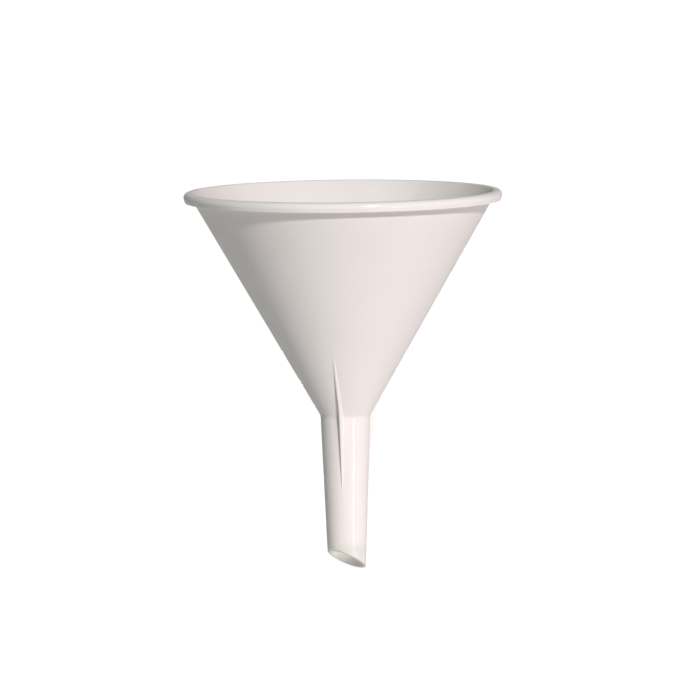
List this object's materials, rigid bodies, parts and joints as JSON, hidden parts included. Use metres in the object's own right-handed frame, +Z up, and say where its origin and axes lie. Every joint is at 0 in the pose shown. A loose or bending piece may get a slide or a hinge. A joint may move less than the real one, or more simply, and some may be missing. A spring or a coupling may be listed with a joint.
{
  "type": "canning funnel",
  "caption": "Plain moulded plastic funnel with a conical bowl, a turned-down rim lip, a narrow tapered stem with a slanted tip, and vent ribs at the neck for filling bottles and jars.",
  "frame": {"origin": "on the axis, at the outer corner where the bowl meets the stem, which is the level that sits at a bottle's mouth", "axes": "+Z up along the axis from the stem to the bowl, front rib towards -Y"},
  "size_m": [0.12, 0.12, 0.1435],
  "materials": {
    "white_plastic": "semi-gloss white polypropylene"
  },
  "bodies": {
    "root": {"rim_lip": "white_plastic", "cone_bowl": "white_plastic", "stem_spout": "white_plastic", "vent_rib_1": "white_plastic", "vent_rib_2": "white_plastic", "vent_rib_3": "white_plastic"}
  },
  "joints": []
}
